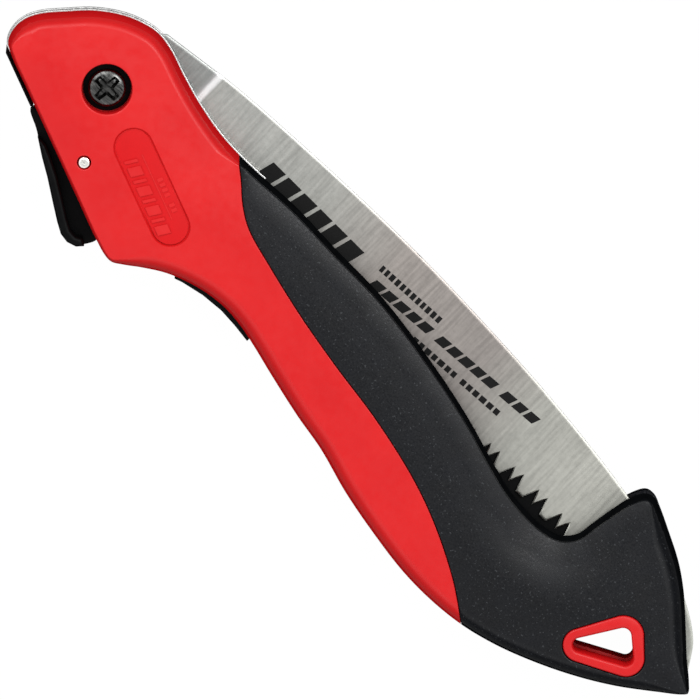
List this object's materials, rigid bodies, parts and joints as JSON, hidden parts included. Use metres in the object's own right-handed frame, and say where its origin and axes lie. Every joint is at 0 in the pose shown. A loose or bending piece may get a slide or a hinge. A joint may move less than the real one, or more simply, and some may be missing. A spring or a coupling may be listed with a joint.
{
  "type": "folding pruning saw",
  "caption": "Folding pruning saw, shut: curved toothed blade in a two-tone red and black handle, with a thumb lock lever, a cross-head pivot screw and a hanging eyelet at the tail.",
  "frame": {"origin": "on the surface the saw lies on, under the middle of its box", "axes": "+X from the pivot towards the tail along the folded blade, +Y out of the blade slot, +Z across the thickness from the back side to the front side"},
  "size_m": [0.2378, 0.0608, 0.022],
  "materials": {
    "red_shell": "smooth moulded red plastic, satin gloss",
    "black_rubber": "fine-grained soft black overmould, low sheen",
    "black_plastic": "plain moulded black plastic",
    "liner_steel": "plain bright steel",
    "black_screw": "blackened screw steel",
    "blade_steel": "ground steel, marks across the blade, rough on the tang"
  },
  "bodies": {
    "handle": {"shell_front": "red_shell", "shell_back": "red_shell", "grip_front": "black_rubber", "grip_back": "black_rubber", "spine_spacer": "black_plastic", "blade_guard": "black_plastic", "head_strap": "black_plastic", "liner_front": "liner_steel", "liner_back": "liner_steel", "pivot_barrel": "black_screw", "pivot_washer": "black_screw", "pivot_screw": "black_screw", "blade_washer_front": "liner_steel", "blade_washer_back": "liner_steel", "lever_pin": "liner_steel", "lever_spring": "liner_steel", "shell_screw_1": "black_screw", "shell_screw_2": "black_screw", "shell_screw_3": "black_screw"},
    "blade": {"blade": "blade_steel"},
    "lever": {"lock_lever": "black_plastic"}
  },
  "joints": [
    {"name": "blade_fold", "type": "hinge", "parent": "handle", "child": "blade", "pos_m": [-0.09189, 0.0075, 0.011], "axis": [0, 0, 1], "range_deg": [0, 150]},
    {"name": "lever_press", "type": "hinge", "parent": "handle", "child": "lever", "pos_m": [-0.08319, -0.00985, 0.011], "axis": [0, 0, 1], "range_deg": [-7, 5], "stiffness_Nm_per_rad": 0.3, "springref_deg": -20.05, "deforming": ["lever_spring"]}
  ]
}
